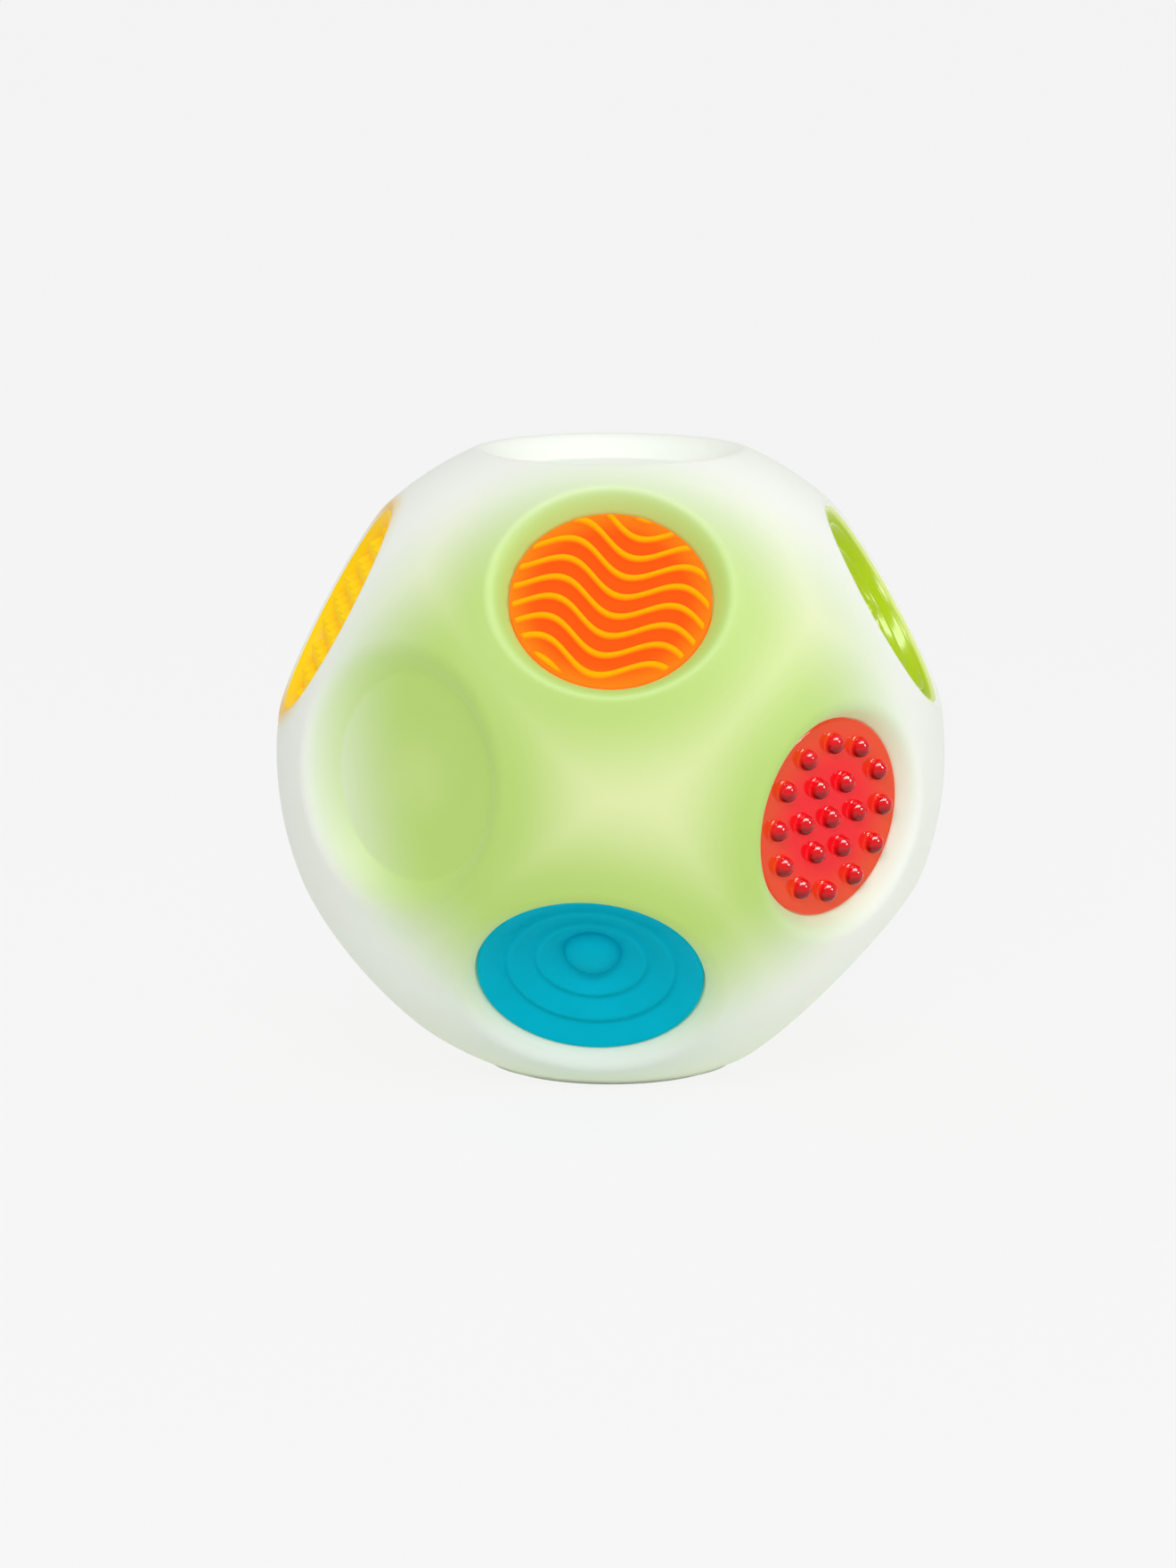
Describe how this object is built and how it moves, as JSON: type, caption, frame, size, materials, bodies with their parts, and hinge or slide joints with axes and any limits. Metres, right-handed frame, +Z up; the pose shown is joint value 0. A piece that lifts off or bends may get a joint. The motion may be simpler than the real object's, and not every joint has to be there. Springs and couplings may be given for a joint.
{
  "type": "light-up sensory ball",
  "caption": "Dimpled milky plastic ball lit from inside, with soft coloured texture pads set in its dimples, a stepped push button and a light and sound module in its base.",
  "frame": {"origin": "on the face that the ball stands on, under the middle of the ball", "axes": "+Z up, -Y to the front, where the wave pad, the stepped button and the bump pad show, +X to the right"},
  "size_m": [0.15, 0.15, 0.1405],
  "materials": {
    "milky_shell": "milky translucent, satin, lit green from inside",
    "orange_pad": "translucent soft elastomer, satin",
    "red_pad": "translucent soft elastomer, glossy",
    "lime_pad": "translucent soft elastomer, glossy",
    "yellow_pad": "translucent soft elastomer, satin",
    "turquoise_cap": "opaque, matte",
    "white_plastic": "moulded, satin",
    "black_plastic": "moulded",
    "screw_steel": "zinc plated",
    "spring_steel": "nickel plated wire",
    "contact_metal": "nickel plated strip",
    "grey_rubber": "matte",
    "board_green": "solder mask",
    "lead_skin": "insulated lead",
    "cell_can": "printed sleeve without marks",
    "speaker_steel": "pressed",
    "speaker_paper": "pressed paper",
    "magnet": "ferrite",
    "lamp_lens": "clear tinted epoxy",
    "frosted_dome": "frosted translucent"
  },
  "bodies": {
    "ball": {"ball_shell": "milky_shell", "wave_pad": "orange_pad", "wave_pad_back": "orange_pad", "bump_pad": "red_pad", "bump_pad_back": "red_pad", "ring_bowl_pad": "lime_pad", "pyramid_pad": "yellow_pad", "button_cup": "white_plastic", "cup_screws": "screw_steel", "button_spring": "spring_steel", "contact_dome": "grey_rubber", "button_board": "board_green", "button_lead": "lead_skin", "module_base": "white_plastic", "mouth_seal": "grey_rubber", "flange_screws": "screw_steel", "battery_box": "white_plastic", "cells": "cell_can", "top_contacts": "contact_metal", "top_spring": "spring_steel", "return_strip": "contact_metal", "power_switch": "black_plastic", "speaker_frame": "speaker_steel", "speaker_cone": "speaker_paper", "speaker_magnet": "magnet", "main_board": "board_green", "board_screws": "screw_steel", "board_parts": "black_plastic", "leds": "lamp_lens", "light_diffuser": "frosted_dome", "battery_leads": "lead_skin", "switch_leads": "lead_skin", "speaker_leads": "lead_skin"},
    "button": {"button_cap": "turquoise_cap"},
    "switch_knob": {"power_knob": "black_plastic"},
    "door": {"battery_door": "white_plastic", "door_screw": "screw_steel", "door_contacts": "contact_metal", "door_springs": "spring_steel"}
  },
  "joints": [
    {"name": "button_press", "type": "slide", "parent": "ball", "child": "button", "axis": [0.0682, 0.7795, 0.6226], "range_m": [0, 0.002], "stiffness_N_per_m": 900, "springref_m": -0.002, "deforming": ["button_spring", "contact_dome"]},
    {"name": "power_slide", "type": "slide", "parent": "ball", "child": "switch_knob", "axis": [1, 0, 0], "range_m": [0, 0.003]},
    {"name": "battery_door_lift", "type": "slide", "parent": "ball", "child": "door", "axis": [0, 0, -1], "range_m": [0, 0.04]}
  ]
}
